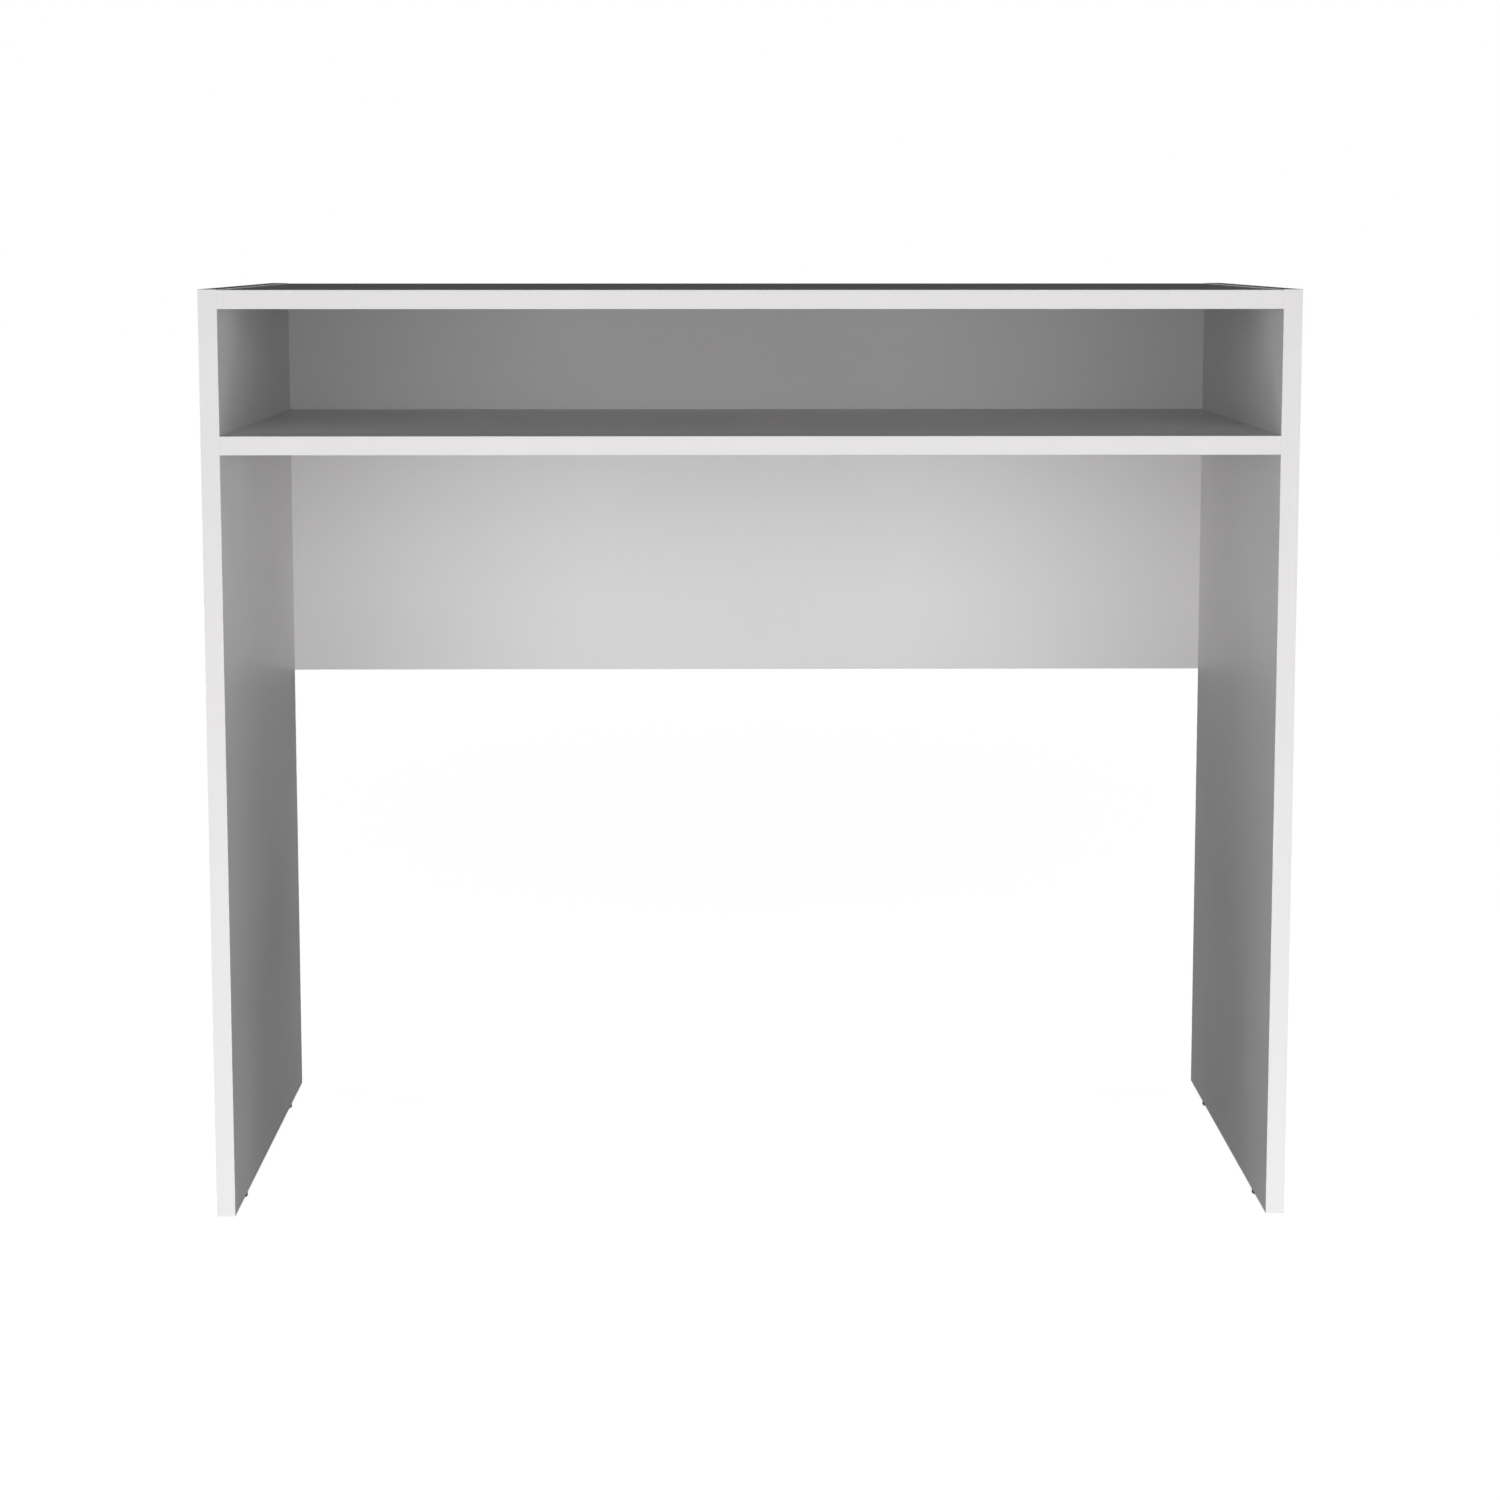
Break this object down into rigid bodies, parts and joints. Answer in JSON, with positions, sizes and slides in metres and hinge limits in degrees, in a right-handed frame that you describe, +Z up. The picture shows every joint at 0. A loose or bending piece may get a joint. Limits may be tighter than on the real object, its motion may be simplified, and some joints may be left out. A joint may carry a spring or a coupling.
{
  "type": "console table",
  "caption": "White flat-pack console table with two panel sides, a top over an open compartment, a thin half-height back and small dark glides.",
  "frame": {"origin": "on the floor, at the middle of the footprint, under the glides' lower faces", "axes": "+X to the right as seen from the front, -Y towards the user, +Z up"},
  "size_m": [0.87, 0.428, 0.7545],
  "materials": {
    "melamine_board": "white melamine facing with a fine pearl texture on chipboard, satin",
    "edge_band": "white plastic edge band, satin",
    "faced_fibreboard": "fibreboard with a smooth white painted face, bare brown at its cut edges",
    "beech_dowels": "fluted bare beech",
    "zinc_cams": "bright die-cast zinc alloy, slightly dull",
    "steel_fittings": "zinc-plated steel",
    "dark_plastic": "dark moulded plastic, matte"
  },
  "bodies": {
    "root": {"back_panel": "faced_fibreboard", "back_screws": "steel_fittings", "front_glide_left": "dark_plastic", "front_glide_right": "dark_plastic", "glide_nails": "steel_fittings", "rear_glide_left": "dark_plastic", "rear_glide_right": "dark_plastic", "shelf_cam_bolts": "steel_fittings", "shelf_cam_locks": "zinc_cams", "shelf_dowels": "beech_dowels", "shelf_front_band": "edge_band", "shelf_panel": "melamine_board", "side_front_band_left": "edge_band", "side_front_band_right": "edge_band", "side_panel_left": "melamine_board", "side_panel_right": "melamine_board", "side_rear_band_left": "edge_band", "side_rear_band_right": "edge_band", "side_top_band_left": "edge_band", "side_top_band_right": "edge_band", "top_cam_bolts": "steel_fittings", "top_cam_locks": "zinc_cams", "top_dowels": "beech_dowels", "top_front_band": "edge_band", "top_panel": "melamine_board"}
  },
  "joints": []
}
